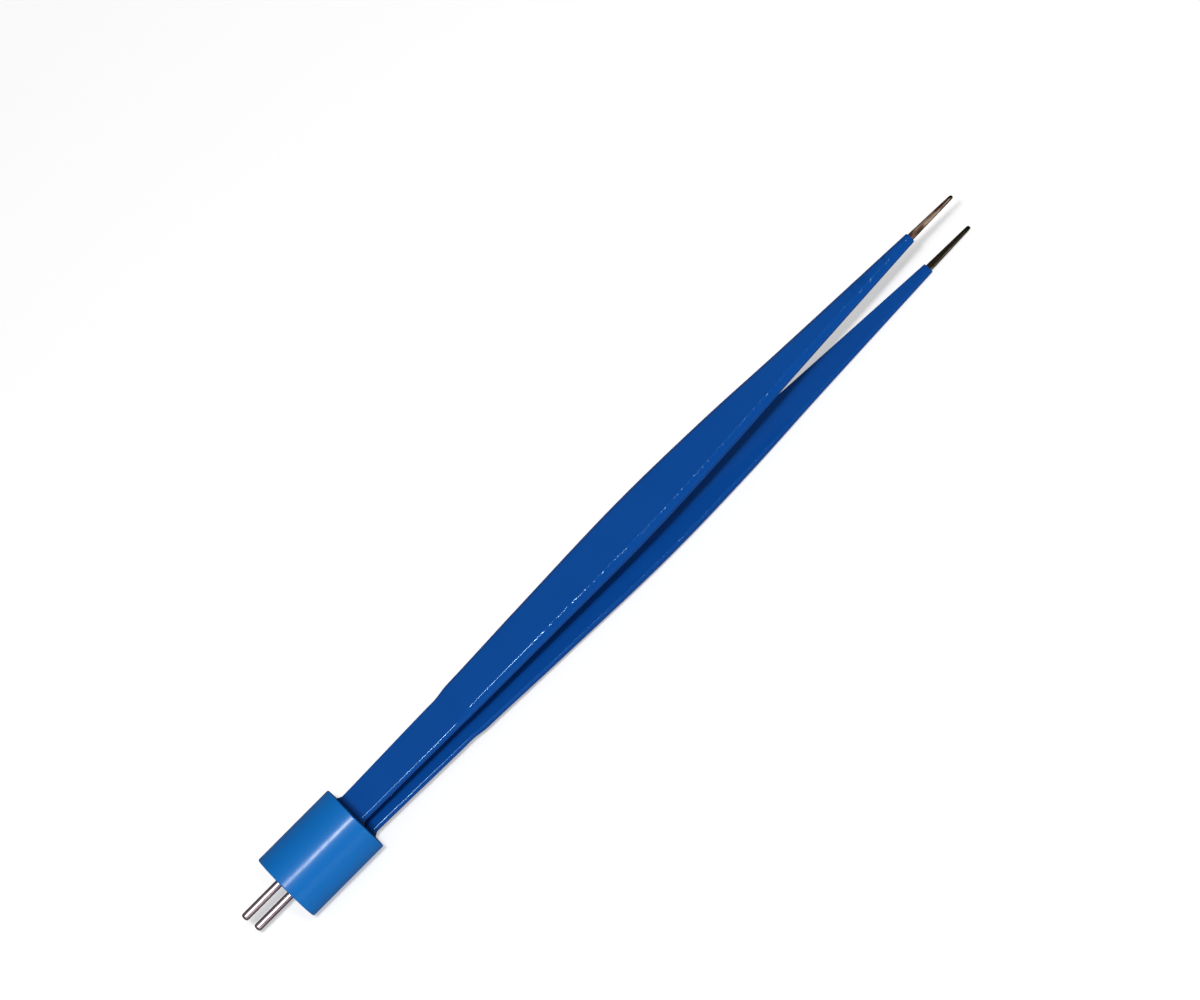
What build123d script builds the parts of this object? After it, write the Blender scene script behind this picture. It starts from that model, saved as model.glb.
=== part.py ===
from build123d import *
import os
from collections import namedtuple
from math import sqrt

# Straight bipolar forceps: two coated spring arms held in a round moulded plug with two pins.
# Millimetres. X runs from the plug to the tips, Z is the opening direction, Y the arms' width.
# The origin is the centre of the plug's rear face.

# Plug
plug_length = 19.0
plug_diameter = 15.2
plug_rim = 0.3  # chamfer of both rims
plug_flat = 1.6  # narrow flat along the barrel, above and below, where the mould parts
lip_height = 1.2  # low flared lip around each arm on the front face
lip_width = 0.9
lip_taper = 35  # degrees

# Contact pins
pin_spacing = 6.35  # centre to centre
pin_diameter = 1.65
pin_reach = 9.7  # length that stands out of the plug
pin_nose = 0.4  # chamfer of the free end
pin_depth = 12.0  # length inside the plug
shank_diameter = 2.2  # inside the plug, thicker so that the pin can't be pushed in
collar_diameter = 3.0  # ring that keys the pin in the moulding
collar_width = 1.2
collar_depth = 2.6  # from the rear face to the ring

# Steel arms, along X from the plug's rear face
tang_start = 7.8  # end of the arm inside the plug
shoulder_start = 45.6  # the thin spring ends and the outer face steps out
shoulder_end = 49.4
flank_at = 70.0
belly_at = 97.0  # widest place
waist_at = 120.0
taper_at = 140.0  # the long straight taper begins
bare_start = 174.0  # the coating ends and the ground tip begins
tip_end = 185.5

# Steel arms, width across Y
mouth_width = 6.2
spring_width = 7.1
shoulder_width = 7.5
flank_width = 8.45
belly_width = 9.25
waist_width = 7.65
taper_width = 5.25
bare_width = 1.47
point_width = 0.72

# Steel arms, height of the flat inner face over the mid plane of the forceps
spring_end_rise = 3.3
shoulder_rise = 3.5
flank_rise = 4.25
belly_rise = 5.05
waist_rise = 5.6
taper_rise = 6.02
bare_rise = 6.62
point_rise = 6.52

# Steel arms, thickness
spring_thickness = 0.7
shoulder_thickness = 1.3
belly_thickness = 1.6
taper_thickness = 1.35
bare_thickness = 0.85
point_thickness = 0.5

# Edges of the arms
edge_break = 0.12  # chamfer of the outer edges on the thin spring and the tip
bevel = 0.67  # along the outer face, from the shoulder on
taper_bevel = 0.78
bare_bevel = 0.5
nose_length = 0.3

# Coating
coat = 0.4
coat_start = 15.4  # inside the plug

# Clearances
flex_gap = 0.35  # above and below an arm in its slot, so that it can bend inwards
side_gap = 0.15
weld_gap = 0.12  # between the tang and the pin's shelf
end_gap = 0.4

pin_height = pin_spacing / 2
spring_rise = pin_height - spring_thickness / 2
flank_thickness = (shoulder_thickness + belly_thickness) / 2
shelf_height = spring_rise - weld_gap
shelf_start = tang_start - end_gap
slot_width = mouth_width + 2 * (coat + side_gap)
slot_height = spring_thickness + 2 * (coat + flex_gap)
tang_slot_width = mouth_width + 2 * side_gap
tang_slot_height = spring_thickness + 2 * flex_gap
bevel_growth = 2 - sqrt(2)  # how much a bevel's leg grows with a skin all round it
plug_flat_span = sqrt(plug_diameter**2 - plug_flat**2)
arm_sides = {"upper": 1, "lower": -1}

Station = namedtuple("Station", "x width rise thickness bevel")

spring = [
    Station(tang_start, mouth_width, spring_rise, spring_thickness, edge_break),
    Station(plug_length, mouth_width, spring_rise, spring_thickness, edge_break),
    Station(shoulder_start, spring_width, spring_end_rise, spring_thickness, edge_break),
]
body = [
    Station(shoulder_end, shoulder_width, shoulder_rise, shoulder_thickness, bevel),
    Station(flank_at, flank_width, flank_rise, flank_thickness, bevel),
    Station(belly_at, belly_width, belly_rise, belly_thickness, bevel),
    Station(waist_at, waist_width, waist_rise, belly_thickness, bevel),
    Station(taper_at, taper_width, taper_rise, taper_thickness, taper_bevel),
    Station(bare_start, bare_width, bare_rise, bare_thickness, bare_bevel),
]
point = Station(tip_end - nose_length, point_width, point_rise, point_thickness, edge_break)
nose = Station(
    tip_end,
    point_width - nose_length,
    point_rise + nose_length / 2,
    point_thickness - nose_length,
    edge_break / 2,
)
coated_spring = [spring[0]._replace(x=coat_start)] + spring[1:]


def section_plane(x, side):
    """Plane across the arm at x, with its Y pointing out of the forceps on that side."""
    return Plane(origin=(x, 0, 0), x_dir=(0, side, 0), z_dir=(1, 0, 0))


def arm_section(station, side, skin=0.0):
    """One cross section: flat inner face and bevelled outer edges, grown by skin all round."""
    with BuildSketch(section_plane(station.x, side)) as section:
        with Locations((0, station.rise + station.thickness / 2)):
            Rectangle(station.width + 2 * skin, station.thickness + 2 * skin)
        chamfer(section.vertices().group_by(Axis.Y)[-1], station.bevel + skin * bevel_growth)
    return section.sketch


os.makedirs("parts", exist_ok=True)

pins = {}
for name, side in arm_sides.items():
    # Contact pin: a turned rod with a keying ring, cut to a half-round shelf under the tang
    with BuildPart() as pin:
        with BuildSketch(Plane.YZ.offset(-pin_reach)):
            with Locations((0, side * pin_height)):
                Circle(pin_diameter / 2)
        extrude(amount=pin_reach)
        chamfer(pin.edges().group_by(Axis.X)[0], pin_nose)
        with BuildSketch(Plane.YZ):
            with Locations((0, side * pin_height)):
                Circle(shank_diameter / 2)
        extrude(amount=pin_depth)
        with BuildSketch(Plane.YZ.offset(collar_depth)):
            with Locations((0, side * pin_height)):
                Circle(collar_diameter / 2)
        extrude(amount=collar_width)
        with BuildSketch(section_plane(shelf_start, side)):
            with Locations((0, shelf_height)):
                Rectangle(shank_diameter, shank_diameter, align=(Align.CENTER, Align.MIN))
        extrude(amount=pin_depth - shelf_start, mode=Mode.SUBTRACT)
    pin.part.label = name + "_pin"
    export_step(pin.part, "parts/" + pin.part.label + ".step")
    pins[name] = pin.part

    # Steel arm: thin spring, stepped and bevelled body, ground tip with a blunt nose
    with BuildPart() as blade:
        loft([arm_section(station, side) for station in spring])
        loft([arm_section(station, side) for station in (spring[-1], body[0])], ruled=True)
        loft([arm_section(station, side) for station in body])
        loft([arm_section(station, side) for station in (body[-1], point)], ruled=True)
        loft([arm_section(station, side) for station in (point, nose)], ruled=True)
    blade.part.label = name + "_blade"
    export_step(blade.part, "parts/" + blade.part.label + ".step")

    # Coating: one skin over the arm, from inside the plug to the start of the bare tip
    with BuildPart() as coating:
        loft([arm_section(station, side, coat) for station in coated_spring])
        loft([arm_section(station, side, coat) for station in (spring[-1], body[0])], ruled=True)
        loft([arm_section(station, side, coat) for station in body])
        add(blade.part, mode=Mode.SUBTRACT)
    coating.part.label = name + "_coating"
    export_step(coating.part, "parts/" + coating.part.label + ".step")

# Plug: one round moulding, with the pins keyed in it and a slot for each arm to bend in
with BuildPart() as plug:
    with BuildSketch(Plane.YZ):
        Circle(plug_diameter / 2)
    extrude(amount=plug_length)
    chamfer(plug.edges().filter_by(GeomType.CIRCLE), plug_rim)
    with BuildSketch(Plane.YZ):
        Rectangle(plug_diameter, plug_flat_span)
    extrude(amount=plug_length, mode=Mode.INTERSECT)
    for side in arm_sides.values():
        with BuildSketch(section_plane(plug_length, side)):
            with Locations((0, pin_height)):
                RectangleRounded(slot_width + 2 * lip_width, slot_height + 2 * lip_width, lip_width)
        extrude(amount=lip_height, taper=lip_taper)
    for side in arm_sides.values():
        with BuildSketch(section_plane(coat_start - end_gap, side)):
            with Locations((0, pin_height)):
                Rectangle(slot_width, slot_height)
        extrude(amount=plug_length + lip_height, mode=Mode.SUBTRACT)
        with BuildSketch(section_plane(shelf_start, side)):
            with Locations((0, pin_height)):
                Rectangle(tang_slot_width, tang_slot_height)
        extrude(amount=coat_start - shelf_start, mode=Mode.SUBTRACT)
    for pin in pins.values():
        add(pin, mode=Mode.SUBTRACT)
plug.part.label = "plug_body"
export_step(plug.part, "parts/plug_body.step")
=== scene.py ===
# %% [markdown]
# # A pair of bipolar forceps
#
# Two springy steel arms are dipped in a dark blue insulating coat, which stops just short of their fine tips.
# Their other ends are moulded into a round blue plug, and two contact pins stand out of the back of it.
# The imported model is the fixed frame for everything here. Each visible piece is modelled again, finer, in the
# place of the plain solid that it stands for, and then gets its finish.
#
# X runs from the plug to the tips, Z is the way the arms open, and Y is their width. Blender works in metres.

# %% Load the frame
import math

import bmesh
import bpy
from mathutils import Matrix, Vector


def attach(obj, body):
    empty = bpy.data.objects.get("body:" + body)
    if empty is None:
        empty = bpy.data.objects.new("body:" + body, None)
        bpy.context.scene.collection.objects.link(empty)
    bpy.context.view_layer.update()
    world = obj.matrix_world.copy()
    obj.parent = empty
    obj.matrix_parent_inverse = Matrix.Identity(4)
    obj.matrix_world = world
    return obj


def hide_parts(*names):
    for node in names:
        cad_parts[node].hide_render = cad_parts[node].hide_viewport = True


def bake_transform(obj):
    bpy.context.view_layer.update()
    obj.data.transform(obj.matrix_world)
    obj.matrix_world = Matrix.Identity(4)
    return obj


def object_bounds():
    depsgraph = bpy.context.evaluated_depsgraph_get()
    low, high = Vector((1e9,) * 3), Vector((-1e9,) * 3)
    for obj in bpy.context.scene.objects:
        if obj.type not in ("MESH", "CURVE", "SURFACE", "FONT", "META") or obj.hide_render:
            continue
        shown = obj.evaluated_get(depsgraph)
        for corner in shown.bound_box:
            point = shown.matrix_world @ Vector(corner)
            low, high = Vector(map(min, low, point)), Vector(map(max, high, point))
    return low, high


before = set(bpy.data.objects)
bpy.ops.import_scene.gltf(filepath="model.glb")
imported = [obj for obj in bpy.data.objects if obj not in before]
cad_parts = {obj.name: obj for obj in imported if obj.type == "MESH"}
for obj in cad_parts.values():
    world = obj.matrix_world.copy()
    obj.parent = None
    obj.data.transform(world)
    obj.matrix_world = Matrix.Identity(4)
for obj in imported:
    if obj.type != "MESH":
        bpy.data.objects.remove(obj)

MM = 0.001
cad_box = [list(corner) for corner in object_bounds()]
print("frame box in mm:", [[round(value / MM, 2) for value in corner] for corner in cad_box])

# %% [markdown]
# ## The camera
#
# A product picture like this is taken from some way off with a long lens, so the forceps hardly taper with
# distance. The camera stands 60 degrees above the flat of the arms, over the rear half, and is turned so that
# the forceps run up across the frame from lower left to upper right. It is easiest to write it down as three
# directions: the one it looks back along, the picture's right and the picture's up.

# %% Camera
elevation = math.radians(60)
camera_distance = 921.3 * MM
camera_foot_x = 43.5 * MM  # where along the forceps the camera stands
camera_lift = 10.0 * MM
camera_yaw = math.radians(3.25)
camera_roll = math.radians(45.04)
focal_pixels = 4760.7
image_width = 1200
sensor_width = 36.0

along = Vector((1, 0, 0))
back = Vector((0, -math.cos(elevation), math.sin(elevation)))
across = back.cross(along)


def seen_from(x, lift, distance):
    """A point given by its place along the forceps, its lift across the picture and its distance."""
    return along * x + across * lift + back * distance


view_right = along * math.cos(camera_yaw) + back * math.sin(camera_yaw)
view_back = back * math.cos(camera_yaw) - along * math.sin(camera_yaw)
right = view_right * math.cos(camera_roll) - across * math.sin(camera_roll)
up = view_right * math.sin(camera_roll) + across * math.cos(camera_roll)

camera_data = bpy.data.cameras.new("camera")
camera_data.sensor_width = sensor_width
camera_data.lens = sensor_width * focal_pixels / image_width
camera = bpy.data.objects.new("camera", camera_data)
bpy.context.collection.objects.link(camera)
turn = Matrix((right, up, view_back)).transposed()
camera.matrix_world = Matrix.Translation(seen_from(camera_foot_x, camera_lift, camera_distance)) @ turn.to_4x4()
bpy.context.scene.camera = camera
bpy.context.scene.view_settings.view_transform = "Standard"
print("lens in mm:", round(camera_data.lens, 1))

# %% [markdown]
# ## Shader maths as plain expressions
#
# A procedural finish is mostly arithmetic on textures. Wiring every Math node by hand hides the idea, so a
# small class wraps a socket and lets Python's own operators add the nodes. One general method adds any other
# node: its settings first, then its inputs, which may be numbers or sockets.

# %% Socket class
class Sock:
    """One output socket, with arithmetic that adds Math nodes."""

    def __init__(self, tree, socket):
        self.tree = tree
        self.socket = socket

    def node(self, kind, inputs=(), output=0, **settings):
        return add_node(self.tree, kind, inputs, output, **settings)

    def math(self, operation, a, b):
        return self.node("ShaderNodeMath", {0: a, 1: b}, operation=operation)

    def __add__(self, other):
        return self.math("ADD", self, other)

    def __radd__(self, other):
        return self.math("ADD", other, self)

    def __mul__(self, other):
        return self.math("MULTIPLY", self, other)

    def __rmul__(self, other):
        return self.math("MULTIPLY", other, self)


def add_node(tree, kind, inputs=(), output=0, **settings):
    """Adds one node: settings first, then the values or links of its sockets."""
    node = tree.nodes.new(kind)
    for key, value in settings.items():
        if key == "stops":
            ramp = node.color_ramp.elements
            while len(ramp) < len(value):
                ramp.new(0.5)
            for element, (place, colour) in zip(ramp, value):
                element.position = place
                element.color = colour
        else:
            setattr(node, key, value)
    for name, value in dict(inputs).items():
        if isinstance(value, Sock):
            tree.links.new(value.socket, node.inputs[name])
        else:
            node.inputs[name].default_value = value
    return Sock(tree, node.outputs[output])


def rgb(red, green, blue):
    """A colour as a picture program writes it, 0 to 255, turned into Blender's linear values."""
    def linear(value):
        value = value / 255
        return value / 12.92 if value <= 0.04045 else ((value + 0.055) / 1.055) ** 2.4
    return (linear(red), linear(green), linear(blue), 1.0)


def grey(value):
    """A grey in Blender's linear values."""
    return (value, value, value, 1)


def new_material(name):
    """An empty material: its node tree, its output node and the object's own coordinates."""
    material = bpy.data.materials.new(name)
    material.use_nodes = True
    tree = material.node_tree
    tree.nodes.clear()
    out = tree.nodes.new("ShaderNodeOutputMaterial")
    place = add_node(tree, "ShaderNodeTexCoord", output="Object")
    return material, tree, out, place


def finish_surface(tree, out, shader_inputs):
    """Ends a material in one principled shader."""
    shader = add_node(tree, "ShaderNodeBsdfPrincipled", shader_inputs)
    tree.links.new(shader.socket, out.inputs["Surface"])


def noise(tree, place, scale, stretch=(1, 1, 1), detail=3.0):
    """Noise of a given scale in the piece's own space, stretched along its axes."""
    mapped = add_node(tree, "ShaderNodeMapping", {"Vector": place, "Scale": stretch})
    return add_node(tree, "ShaderNodeTexNoise", {"Vector": mapped, "Scale": scale, "Detail": detail})


def mix_colour(tree, factor, first, second):
    """A blend of two colours."""
    node = tree.nodes.new("ShaderNodeMix")
    node.data_type = "RGBA"
    for socket, value in zip((node.inputs[0], node.inputs[6], node.inputs[7]), (factor, first, second)):
        if isinstance(value, Sock):
            tree.links.new(value.socket, socket)
        else:
            socket.default_value = value
    return Sock(tree, node.outputs[2])


# %% [markdown]
# ## The coat's finish
#
# The arms are dipped or powder coated, which leaves a dark, glossy blue skin. Its lumps are real shape and come
# later, in the mesh. What is left for the material is a very fine grain, a slight clouding of the colour, and
# a gloss that changes a little from place to place. The reflection is kept weak with the specular level and
# is tinted, because the blue stays deep right up to the edges and the bright lines on it are light blue. At
# the very root, where the skin swells into the plug, a much deeper blue is painted in as the shade that falls
# there. That is a ramp along X, and it has run out before the arm's own skin takes over.

# %% Coat material
coat_colours = (rgb(9, 68, 144), rgb(13, 74, 152))
# painted shade: a much deeper blue where the arm enters the plug, standing in for the shade that falls there
painted_root_shade = rgb(6, 30, 70)
root_shade_fade = (19.4, 20.9)  # where the deep blue begins and ends to give way, in millimetres


def make_coat():
    material, tree, out, place = new_material("blue_insulating_coat")
    grain = noise(tree, place, 4200.0)
    cloud = noise(tree, place, 60.0, detail=2.0)
    along_x = add_node(tree, "ShaderNodeSeparateXYZ", {"Vector": place}, output="X")
    clear_of_root_shade = add_node(tree, "ShaderNodeMapRange", {
        "Value": along_x, "From Min": root_shade_fade[0] * MM, "From Max": root_shade_fade[1] * MM,
    })
    # paints the shade at the root into the coat's colour, fading out along X
    colour = mix_colour(tree, clear_of_root_shade, painted_root_shade, mix_colour(tree, cloud, *coat_colours))
    bump = add_node(tree, "ShaderNodeBump", {"Strength": 0.05, "Distance": 0.03 * MM, "Height": grain})
    finish_surface(tree, out, {
        "Base Color": colour,
        "Roughness": 0.08 + grain * 0.06,
        "IOR": 1.5,
        "Specular IOR Level": 0.22,
        "Specular Tint": (0.5, 0.8, 1.0, 1.0),
        "Normal": bump,
    })
    return material


# %% [markdown]
# ## The plug's finish
#
# The plug is moulded, so it is a lighter blue than the arms. Along the barrel runs a thin bright line with a
# wide soft glow around it. One roughness can't give both, so a satin base carries a thin, smooth clear layer:
# the base makes the glow and the layer makes the line. Fine flow marks along the barrel roughen the line.

# %% Plug material
plug_colours = (rgb(3, 102, 180), rgb(5, 107, 186))


def make_plug_plastic():
    material, tree, out, place = new_material("blue_moulded_plug")
    flow = noise(tree, place, 1500.0, stretch=(0.35, 1, 1))
    grain = noise(tree, place, 5200.0)
    cloud = noise(tree, place, 110.0, detail=2.0)
    marks = flow + grain * 0.4
    bump = add_node(tree, "ShaderNodeBump", {"Strength": 0.25, "Distance": 0.03 * MM, "Height": marks})
    finish_surface(tree, out, {
        "Base Color": mix_colour(tree, cloud, *plug_colours),
        "Roughness": 0.4 + grain * 0.1,
        "IOR": 1.5,
        "Specular IOR Level": 0.2,
        "Specular Tint": (0.7, 0.9, 1.0, 1.0),
        "Coat Weight": 0.1 + flow * 0.35,
        "Coat Roughness": 0.2,
        "Coat IOR": 1.4,
        "Coat Tint": (0.9, 0.97, 1.0, 1.0),
        "Normal": bump,
    })
    return material


# %% [markdown]
# ## Steel and plated pins
#
# The bare tips are ground lengthwise, which leaves fine lines along X. Heat and handling have tinted them a
# smoky bronze, in streaks along the same lines, and have blackened the very ends, the lower one more than the
# upper. The pins are turned and plated, and much brighter. Both are one recipe: a metal whose colour and
# roughness follow noise that is stretched into lines along the work. The tips add a dark end, which is only a
# ramp along X.

# %% Metal materials
burnt_colour = rgb(34, 26, 26)
streak_blur = 0.06


def make_metal(name, light, dark, streaks, roughness, line_depth, black_end=None):
    """streaks is the share of the noise where the dark colour gives way to the light one."""
    material, tree, out, place = new_material(name)
    lines = noise(tree, place, 2600.0, stretch=(0.06, 1, 1), detail=4.0)
    smoke = noise(tree, place, 420.0, stretch=(0.5, 1, 1), detail=2.0)
    patches = add_node(tree, "ShaderNodeValToRGB", {"Fac": smoke * 0.5 + lines * 0.5}, stops=(
        (streaks - streak_blur, grey(0)), (streaks + streak_blur, grey(1)),
    ))
    tint = mix_colour(tree, patches, dark, light)
    if black_end:
        along_x = add_node(tree, "ShaderNodeSeparateXYZ", {"Vector": place}, output="X")
        burnt = add_node(tree, "ShaderNodeMapRange", {
            "Value": along_x, "From Min": black_end[0] * MM, "From Max": black_end[1] * MM,
        })
        tint = mix_colour(tree, burnt, tint, burnt_colour)
    bump = add_node(tree, "ShaderNodeBump", {"Strength": line_depth, "Distance": 0.05 * MM, "Height": lines})
    finish_surface(tree, out, {
        "Base Color": tint,
        "Metallic": 1.0,
        "Roughness": roughness + lines * 0.12,
        "Normal": bump,
    })
    return material


coat_finish = make_coat()
plug_finish = make_plug_plastic()
tip_finishes = {
    "upper": make_metal(
        "bronzed_steel", rgb(236, 208, 178), rgb(104, 72, 60), 0.51, 0.36, 0.4, black_end=(184.3, 185.2)
    ),
    "lower": make_metal(
        "blackened_steel", rgb(150, 136, 110), rgb(66, 60, 46), 0.56, 0.36, 0.4, black_end=(183.5, 185.0)
    ),
}
pin_finish = make_metal("plated_pin", rgb(226, 206, 211), rgb(204, 180, 187), 0.5, 0.3, 0.02)
print("materials:", [material.name for material in bpy.data.materials])

# %% [markdown]
# ## Small helpers for modelling by hand
#
# Each operator acts on whatever is selected, so a helper clears the selection before a primitive is added, and
# another picks faces or edges by a rule on their place. The rule is a small function, which reads like a
# sentence where it is used. The last two pull an end face out, and close a piece that is done.

# %% Modelling helpers
def clear_selection():
    bpy.ops.object.select_all(action="DESELECT")


def begin(name):
    """Names the new primitive, settles its place in its mesh and opens it for editing with nothing selected."""
    piece = bpy.context.object
    piece.name = name
    piece.data.name = name
    bpy.ops.object.transform_apply(location=True, rotation=True, scale=True)
    bpy.ops.object.mode_set(mode="EDIT")
    bpy.ops.mesh.select_all(action="DESELECT")
    return piece


def pick_faces(piece, rule):
    """Selects the faces whose centre obeys the rule, and nothing else."""
    bpy.ops.mesh.select_mode(type="FACE")
    bpy.ops.mesh.select_all(action="DESELECT")
    mesh = bmesh.from_edit_mesh(piece.data)
    for face in mesh.faces:
        face.select_set(bool(rule(face.calc_center_median(), face.normal)))
    bmesh.update_edit_mesh(piece.data)


def pick_edges(piece, rule):
    """Selects the edges whose two ends obey the rule, and nothing else."""
    bpy.ops.mesh.select_mode(type="EDGE")
    bpy.ops.mesh.select_all(action="DESELECT")
    mesh = bmesh.from_edit_mesh(piece.data)
    for edge in mesh.edges:
        edge.select_set(bool(rule(edge.verts[0].co, edge.verts[1].co)))
    bmesh.update_edit_mesh(piece.data)


def lengthwise(a, b):
    """Whether the edge between two points runs along the forceps rather than around it."""
    return abs(a.x - b.x) > 0.01 * MM


def apply_modifier(piece, kind, **settings):
    """Adds one modifier with its settings and applies it."""
    modifier = piece.modifiers.new(kind.lower(), kind)
    for key, value in settings.items():
        setattr(modifier, key, value)
    bpy.ops.object.modifier_apply(modifier=modifier.name)


def pull_end(step, wider, taller, centre):
    """Pulls the selected end face out along X by a step, and scales it about its new centre."""
    bpy.ops.mesh.extrude_region_move(TRANSFORM_OT_translate={"value": (step, 0, 0)})
    bpy.ops.transform.resize(value=(1, wider, taller), center_override=centre)


def close_piece(piece, material, smooth_angle=35):
    """Leaves edit mode, shades the piece smoothly with its flats kept flat, and gives it its finish."""
    bpy.ops.object.mode_set(mode="OBJECT")
    clear_selection()
    piece.select_set(True)
    bpy.context.view_layer.objects.active = piece
    bpy.ops.object.shade_smooth_by_angle(angle=math.radians(smooth_angle))
    apply_modifier(piece, "WEIGHTED_NORMAL", keep_sharp=True)
    piece.data.materials.clear()
    piece.data.materials.append(material)
    print(piece.name, "has", len(piece.data.polygons), "faces")


# %% [markdown]
# ## The shape of an arm
#
# An arm is a flat strip that does four things along its length. It leaves the plug as a thin spring, steps out
# at a shoulder to a thicker, bevelled body, swells to a belly where the fingers hold it, and then tapers for a
# long way to the tip. A few stations say how wide, how thick and how far from the middle it is at each place.
# Between them a smooth curve fills in, so the strip can be grown in many short steps.

# %% Stations of the steel arm, in millimetres
pin_height = 3.175
spring_thickness = 0.7
coat_thickness = 0.4
plug_length = 19.0
tang_start = 7.8
coat_start = 15.4
shoulder_start = 45.6
shoulder_end = 49.4
bare_start = 174.0
tip_end = 185.5
spring_rise = pin_height - spring_thickness / 2

# place along X, width, height of the inner face, thickness, bevel of the outer edges
spring = [
    (tang_start, 6.2, spring_rise, spring_thickness, 0.12),
    (plug_length, 6.2, spring_rise, spring_thickness, 0.12),
    (shoulder_start, 7.1, 3.3, spring_thickness, 0.12),
]
body = [
    (shoulder_end, 7.5, 3.5, 1.3, 0.67),
    (70.0, 8.45, 4.25, 1.45, 0.67),
    (97.0, 9.25, 5.05, 1.6, 0.67),
    (120.0, 7.65, 5.6, 1.6, 0.67),
    (140.0, 5.25, 6.02, 1.35, 0.78),
    (bare_start, 1.47, 6.62, 0.85, 0.5),
]
tip = [
    (bare_start, 1.5, 6.62, 0.85, 0.32),
    (tip_end, 0.78, 6.52, 0.5, 0.12),
]


def between(stations, x):
    """The values of a run of stations at x, on a smooth curve through them."""
    places = [station[0] for station in stations]
    i = max(n for n, place in enumerate(places[:-1]) if place <= x or n == 0)

    def slope(n, k):
        a, b = max(n - 1, 0), min(n + 1, len(stations) - 1)
        return (stations[b][k] - stations[a][k]) / (places[b] - places[a])

    step = places[i + 1] - places[i]
    t = (x - places[i]) / step
    rise_to = 3 * t**2 - 2 * t**3
    values = []
    for k in range(1, 5):
        start, end = stations[i][k], stations[i + 1][k]
        leave, arrive = slope(i, k) * step, slope(i + 1, k) * step
        values.append(
            start + (end - start) * rise_to
            + leave * (t - 2 * t**2 + t**3) + arrive * (t**3 - t**2)
        )
    return values


def arm_at(x):
    """Width, inner height, thickness and bevel of the steel at x."""
    if x <= shoulder_start:
        return between(spring, x)
    if x < shoulder_end:
        t = (x - shoulder_start) / (shoulder_end - shoulder_start)
        share = 0.5 * t + 0.5 * (3 * t**2 - 2 * t**3)
        return [a + (b - a) * share for a, b in zip(spring[-1][1:], body[0][1:])]
    return between(body, x) if x <= bare_start else between(tip, x)


print("belly of the steel in mm:", [round(value, 2) for value in arm_at(97.0)])

# %% [markdown]
# ## Growing an arm
#
# The arm starts as one short block. Its front face is extruded step by step, and after each step the new face
# is moved and scaled to the strip's size at that place. It is the same move as pulling a face out by hand.

# %% Function that grows an arm
step_length = 1.0
nose_steps = ((0.35, 0.98), (0.2, 0.86), (0.1, 0.66), (0.04, 0.4))  # distance from the end, share of the size


def steps_along(start, end):
    """The places where an arm gets a new ring, with one at each corner of its shape."""
    corners = [start] + [x for x in (shoulder_start, shoulder_end, bare_start) if start < x < end] + [end]
    places = []
    for a, b in zip(corners, corners[1:]):
        count = max(1, round((b - a) / step_length))
        places += [a + (b - a) * n / count for n in range(count)]
    return places + [end]


def fit_end(side, skin, x, old_centre, old_size, share=1.0):
    """Moves and scales the selected end face from its old place and size to what the arm has at x."""
    width, rise, thickness, _ = arm_at(x)
    size = ((width + 2 * skin) * share * MM, (thickness + 2 * skin) * share * MM)
    centre = Vector((x * MM, 0, side * (rise + thickness / 2) * MM))
    bpy.ops.transform.translate(value=centre - old_centre)
    ratio = (1, size[0] / old_size[0], size[1] / old_size[1])
    bpy.ops.transform.resize(value=ratio, center_override=centre)
    return centre, size


def grow_arm(name, side, skin, start, end, blunt=False):
    """Grows one arm, or one coat of an arm, from start to end in millimetres. side is 1 above and -1 below."""
    places = steps_along(start, end)
    clear_selection()
    bpy.ops.mesh.primitive_cube_add(size=MM)
    piece = begin(name)
    pick_faces(piece, lambda centre, normal: normal.x < -0.5)
    fit_end(side, skin, places[0], Vector((-MM / 2, 0, 0)), (MM, MM))
    pick_faces(piece, lambda centre, normal: normal.x > 0.5)
    now = fit_end(side, skin, places[1], Vector((MM / 2, 0, 0)), (MM, MM))
    stops = [(x, 1.0) for x in places[2:]]
    if blunt:
        stops = stops[:-1] + [(end - inset, share) for inset, share in nose_steps]
    for x, share in stops:
        bpy.ops.mesh.extrude_region_move()
        now = fit_end(side, skin, x, *now, share)
    bpy.ops.object.mode_set(mode="OBJECT")
    return piece


# %% [markdown]
# ## Three bevels
#
# The strip gets its edges in three passes. The two edges of the flat inner face are rounded. The two outer ones
# are cut off by one flat bevel, which is small on the spring, widens over the shoulder and shrinks to the tip.
# Last, every edge that is left gets a small round, because a coat has no sharp edge, and it is this small round
# that catches the lamp as a thin bright line. An edge's bevel weight says how wide the modifier cuts it there,
# so one modifier can follow a bevel that changes along the arm.

# %% Bevels of an arm
widest_leg = 0.35  # of the strip's own width


def bevel_along(piece, side, outer, leg_at, segments):
    """Bevels the two long outer, or the two long inner, edges. leg_at gives the bevel's width at a place."""
    legs = {}
    for edge in piece.data.edges:
        a, b = (piece.data.vertices[n].co for n in edge.vertices)
        x = min((a.x + b.x) / 2 / MM, tip_end)
        _, rise, thickness, _ = arm_at(x)
        is_outer = side * a.z / MM > rise + thickness / 2
        if lengthwise(a, b) and is_outer == outer:
            legs[edge.index] = min(leg_at(x), widest_leg * abs(a.y + b.y) / MM)
    widest = max(legs.values())
    weights = piece.data.attributes.new("bevel_weight_edge", "FLOAT", "EDGE")
    for index, leg in legs.items():
        weights.data[index].value = leg / widest
    apply_modifier(
        piece, "BEVEL", width=widest * MM, segments=segments, limit_method="WEIGHT",
        offset_type="OFFSET", use_clamp_overlap=False,
    )
    piece.data.attributes.remove(piece.data.attributes["bevel_weight_edge"])


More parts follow.
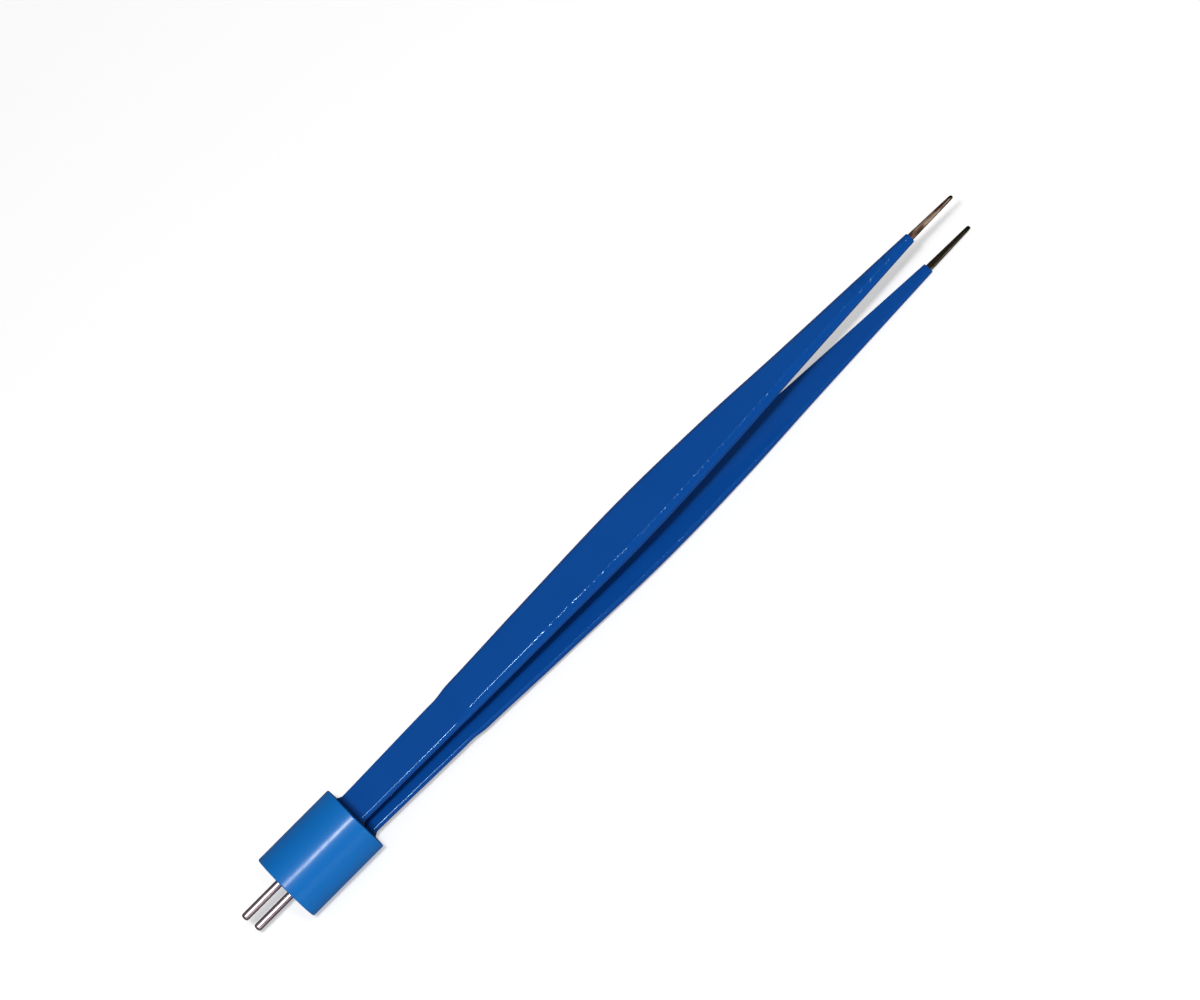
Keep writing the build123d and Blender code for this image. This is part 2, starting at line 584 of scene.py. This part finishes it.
def bevel_arm(piece, side, skin, inner_radius, edge_radius):
    """Gives an arm its three kinds of edge."""
    growth = skin * (2 - math.sqrt(2))
    bevel_along(piece, side, False, lambda x: inner_radius, 4)
    bevel_along(piece, side, True, lambda x: arm_at(x)[3] + growth, 1)
    apply_modifier(
        piece, "BEVEL", width=edge_radius * MM, segments=3, limit_method="ANGLE",
        angle_limit=math.radians(28), offset_type="OFFSET", use_clamp_overlap=False,
    )


# %% [markdown]
# ## A lumpy coat
#
# A coat is thickest on the flats and creeps back from the edges, where it dries in small lumps about a
# millimetre apart. They can't be seen by themselves, but the bright line along the outer edge breaks up on
# them. Nearer the plug the coat has run smooth and the line is whole. The long edges are first cut finer, so
# that there are enough points, and then a vertex group tells a Displace modifier where its noise may act:
# fully on the round edges and hardly at all on the flats. Its middle level keeps the lumps inwards, within
# the frame.

# %% Function for the lumps
lump_size = 0.45  # millimetres, like the three below
lump_height = 0.25
lumps_from = 66.0
lumps_ramp = 6.0  # from none to full
lumps_level = 0.85
flat_share = 0.06  # how much of the height the flats get
edge_lean = (0.74, 0.992)  # how upright a normal is on the round edges
finer_cuts = 3


def make_lumpy(piece):
    """Adds the lumps of a dried coat to the body of an arm."""
    clear_selection()
    piece.select_set(True)
    bpy.context.view_layer.objects.active = piece
    bpy.ops.object.mode_set(mode="EDIT")
    pick_edges(piece, lambda a, b: abs(a.x - b.x) > 0.4 * MM and min(a.x, b.x) > (shoulder_start - 1) * MM)
    bpy.ops.mesh.subdivide(number_cuts=finer_cuts, quadcorner="INNERVERT")
    bpy.ops.object.mode_set(mode="OBJECT")
    group = piece.vertex_groups.new(name="lumps")
    for vertex in piece.data.vertices:
        on_edge = edge_lean[0] < abs(vertex.normal.z) < edge_lean[1]
        start = min(1, max(0, vertex.co.x / MM - lumps_from) / lumps_ramp)
        group.add([vertex.index], (1.0 if on_edge else flat_share) * start, "REPLACE")
    clouds = bpy.data.textures.new("lumps", "CLOUDS")
    clouds.noise_scale = lump_size * MM
    clouds.noise_depth = 1
    apply_modifier(
        piece, "DISPLACE", texture=clouds, texture_coords="LOCAL", vertex_group="lumps",
        strength=lump_height * MM, mid_level=lumps_level, direction="NORMAL",
    )


# %% [markdown]
# ## The two coats and the two blades
#
# The coat is the steel's outline grown by its own thickness, and it ends in a small round shoulder where the
# steel comes out. The same function grows the bare steel with no skin, and its last few rings shrink to a
# blunt, round nose.

arm_pieces = []
for word, side in (("upper", 1), ("lower", -1)):
    coat = grow_arm(word + "_coat", side, coat_thickness, coat_start, bare_start)
    bevel_arm(coat, side, coat_thickness, inner_radius=0.5, edge_radius=0.2)
    make_lumpy(coat)
    blade = grow_arm(word + "_steel", side, 0.0, tang_start, tip_end, blunt=True)
    bevel_arm(blade, side, 0.0, inner_radius=0.1, edge_radius=0.03)
    for piece, finish, node, slot in (
        (coat, coat_finish, "_coating", "arm_coating"), (blade, tip_finishes[word], "_blade", "blade_steel"),
    ):
        close_piece(piece, finish)
        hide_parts(word + node)
        arm_pieces.append((piece, word))

# %% [markdown]
# ## The plug
#
# A barrel with crisp rims. It is a many-sided cylinder with its two rims bevelled.

# %% Plug barrel
plug_radius = 7.595
plug_sides = 160
rim_radius = 0.25

clear_selection()
bpy.ops.mesh.primitive_cylinder_add(
    vertices=plug_sides, radius=plug_radius * MM, depth=plug_length * MM,
    location=(plug_length / 2 * MM, 0, 0), rotation=(0, math.pi / 2, 0),
)
plug = begin("plug_moulding")
pick_edges(plug, lambda a, b: not lengthwise(a, b))
bpy.ops.mesh.bevel(offset=rim_radius * MM, segments=4, affect="EDGES")
close_piece(plug, plug_finish)
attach(plug, "plug")
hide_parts("plug_body")

# %% [markdown]
# ## The flares at the roots
#
# Where each arm goes into the plug, the dark coat swells into a low flared collar that closes the mouth. It
# starts as a block around the arm with rounded corners. Its front face is pulled out in short steps and shrunk
# at each one, by less and less, which gives the hollow flare. It wears the coat's finish, so the shade painted
# at the root makes it deep navy.

# %% Flares
flare_height = 1.8
flare_width = 0.6
flare_root = 1.0  # how far the block reaches back into the barrel
flare_corner = 1.0
flare_steps = 7
flare_bite = 0.05  # how deep the flare's thin end sinks into the coat

mouth_width, _, mouth_thickness, _ = arm_at(plug_length)
for word, side in (("upper", 1), ("lower", -1)):
    clear_selection()
    bpy.ops.mesh.primitive_cube_add(size=MM)
    flare = begin(word + "_root_flare")
    reach, spare = 0.0, flare_width
    size = [(side_length + 2 * (coat_thickness + spare)) * MM for side_length in (mouth_width, mouth_thickness)]
    bpy.ops.mesh.select_all(action="SELECT")
    bpy.ops.transform.resize(value=(flare_root, size[0] / MM, size[1] / MM), center_override=(0, 0, 0))
    bpy.ops.transform.translate(value=((plug_length - flare_root / 2) * MM, 0, side * pin_height * MM))
    pick_edges(flare, lengthwise)
    bpy.ops.mesh.bevel(offset=flare_corner * MM, segments=6, affect="EDGES")
    pick_faces(flare, lambda centre, normal: normal.x > 0.9)
    for n in range(1, flare_steps + 1):
        share = n / flare_steps
        new_reach = flare_height * share
        new_spare = (flare_width + flare_bite) * (1 - share) ** 2 - flare_bite
        shrink = [1 - 2 * (spare - new_spare) * MM / side_length for side_length in size]
        size = [side_length * ratio for side_length, ratio in zip(size, shrink)]
        centre = Vector(((plug_length + new_reach) * MM, 0, side * pin_height * MM))
        pull_end((new_reach - reach) * MM, *shrink, centre)
        reach, spare = new_reach, new_spare
    # the coat's painted root shade darkens the flare
    close_piece(flare, coat_finish, smooth_angle=50)
    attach(flare, "plug")

# %% [markdown]
# ## The contact pins
#
# A turned pin is round from end to end, so a cylinder is the right start. The free end is rounded over with a
# wide bevel. Inside the plug the rod grows a little, carries a ring that keys it in the moulding, and ends
# under the arm: these are extrusions of the same end face, each scaled to its new radius.

# %% Pins
pin_radius = 0.825
pin_sides = 72
shank_radius = 1.1
shank_start = 0.05  # just inside, so that no two faces lie in one plane
pin_reach = 9.7
pin_nose = 0.55
ring_radius = 1.5
ring_start = 2.6
ring_width = 1.2
pin_depth = 7.4

for word, side in (("upper", 1), ("lower", -1)):
    clear_selection()
    bpy.ops.mesh.primitive_cylinder_add(
        vertices=pin_sides, radius=pin_radius * MM, depth=pin_reach * MM,
        location=(-pin_reach / 2 * MM, 0, side * pin_height * MM), rotation=(0, math.pi / 2, 0),
    )
    pin = begin(word + "_turned_pin")
    pick_edges(pin, lambda a, b: not lengthwise(a, b) and a.x < -MM)
    bpy.ops.mesh.bevel(offset=pin_nose * MM, segments=8, affect="EDGES")
    pick_faces(pin, lambda centre, normal: normal.x > 0.9)
    radius, reach = pin_radius, 0.0
    for new_reach, new_radius in (
        (shank_start, shank_radius), (ring_start, shank_radius), (ring_start, ring_radius),
        (ring_start + ring_width, ring_radius), (ring_start + ring_width, shank_radius), (pin_depth, shank_radius),
    ):
        centre = Vector((new_reach * MM, 0, side * pin_height * MM))
        ratio = new_radius / radius
        pull_end((new_reach - reach) * MM, ratio, ratio, centre)
        radius, reach = new_radius, new_reach
    close_piece(pin, pin_finish)
    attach(pin, "plug")
    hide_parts(word + "_pin")

# %% [markdown]
# ## Settling the arms
#
# The real arms have no hinge: each bends along its thin spring. Here each arm piece only has its placement
# baked into its mesh, after all modelling.

# %% Bake the arms' placement
for piece, word in arm_pieces:
    word + "_arm"
    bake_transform(piece)

# %% [markdown]
# ## Floor and light
#
# The forceps lie on a plain white floor. The camera sees it white and it throws pale light up on them, but in
# reflections it is a dark card, so that the edges of the coat and of the plug stay dark against the white.
#
# The key stands close to the camera and gives the thin highlights along the edges and the barrel. A weaker one
# further to the front carries them on towards the tips. A larger lamp beside the key softens the glow on the
# barrel and the short shadow to the lower right. A wide, low card on the near side brightens the slanted edges
# and draws the white core on the pins. The dim room fills the shadows, and in reflections it has a pale
# ceiling over dark walls.

# %% Floor
def look(tree, way):
    """1 for rays of one kind, such as Camera, and 0 for all others."""
    return add_node(tree, "ShaderNodeLightPath", output=f"Is {way} Ray")


floor_size = 6.0
glow_strength = 1.32
glow_share = 0.3

clear_selection()
bpy.ops.mesh.primitive_plane_add(size=floor_size, location=(0, 0, cad_box[0][2]))
floor = bpy.context.object
floor.name = "floor"
floor_material, tree, out, _ = new_material("white_floor")
paper = add_node(tree, "ShaderNodeBsdfDiffuse", {"Color": rgb(255, 255, 255)})
glow = add_node(tree, "ShaderNodeEmission", {"Color": grey(1), "Strength": glow_strength})
white = add_node(tree, "ShaderNodeMixShader", {0: glow_share, 1: paper, 2: glow})
bounce = mix_colour(tree, look(tree, "Glossy"), rgb(225, 225, 225), rgb(90, 90, 92))
card = add_node(tree, "ShaderNodeBsdfDiffuse", {"Color": bounce})
surface = add_node(tree, "ShaderNodeMixShader", {0: look(tree, "Camera"), 1: card, 2: white})
tree.links.new(surface.socket, out.inputs["Surface"])
floor.data.materials.append(floor_material)

# %% World
room_light = 0.3
wall_light = 0.04
ceiling_light = 0.2
wall_top = 0.6  # how steeply one looks up where the walls end and where the ceiling begins
ceiling_edge = 0.85

world = bpy.data.worlds.new("studio")
bpy.context.scene.world = world
world.use_nodes = True
tree = world.node_tree
tree.nodes.clear()
out = tree.nodes.new("ShaderNodeOutputWorld")
direction = add_node(tree, "ShaderNodeTexCoord", output="Generated")
height = add_node(tree, "ShaderNodeSeparateXYZ", {"Vector": direction}, output="Z")
mirrored = add_node(tree, "ShaderNodeValToRGB", {"Fac": height}, stops=(
    (wall_top, grey(wall_light)), (ceiling_edge, grey(ceiling_light)),
))
room = mix_colour(tree, look(tree, "Glossy"), grey(room_light), mirrored)
surroundings = mix_colour(tree, look(tree, "Camera"), room, grey(1))
sky = add_node(tree, "ShaderNodeBackground", {"Color": surroundings})
tree.links.new(sky.socket, out.inputs["Surface"])


# %% Lamps
def add_lamp(name, place, target, size, power):
    """Adds an area lamp at a place, facing a target. size is its width and height."""
    data = bpy.data.lights.new(name, "AREA")
    data.shape = "RECTANGLE"
    data.size, data.size_y = size
    data.energy = power
    lamp = bpy.data.objects.new(name, data)
    lamp.location = place
    lamp.rotation_mode = "QUATERNION"
    lamp.rotation_quaternion = (target - place).to_track_quat("-Z", "Y")
    bpy.context.collection.objects.link(lamp)


middle = Vector((90 * MM, 0, 0))
add_lamp("key", seen_from(14 * MM, 123 * MM, 915 * MM), middle, (0.06, 0.06), 3.5)
add_lamp("front_key", seen_from(190 * MM, 123 * MM, 915 * MM), middle, (0.06, 0.03), 0.8)
add_lamp("shadow_maker", seen_from(-20 * MM, 170 * MM, 915 * MM), middle, (0.12, 0.12), 1.75)
add_lamp("near_card", Vector((0.09, -0.9, 0.16)), middle, (1.2, 0.3), 1.3)
print("lamps:", [light.name for light in bpy.data.lights])
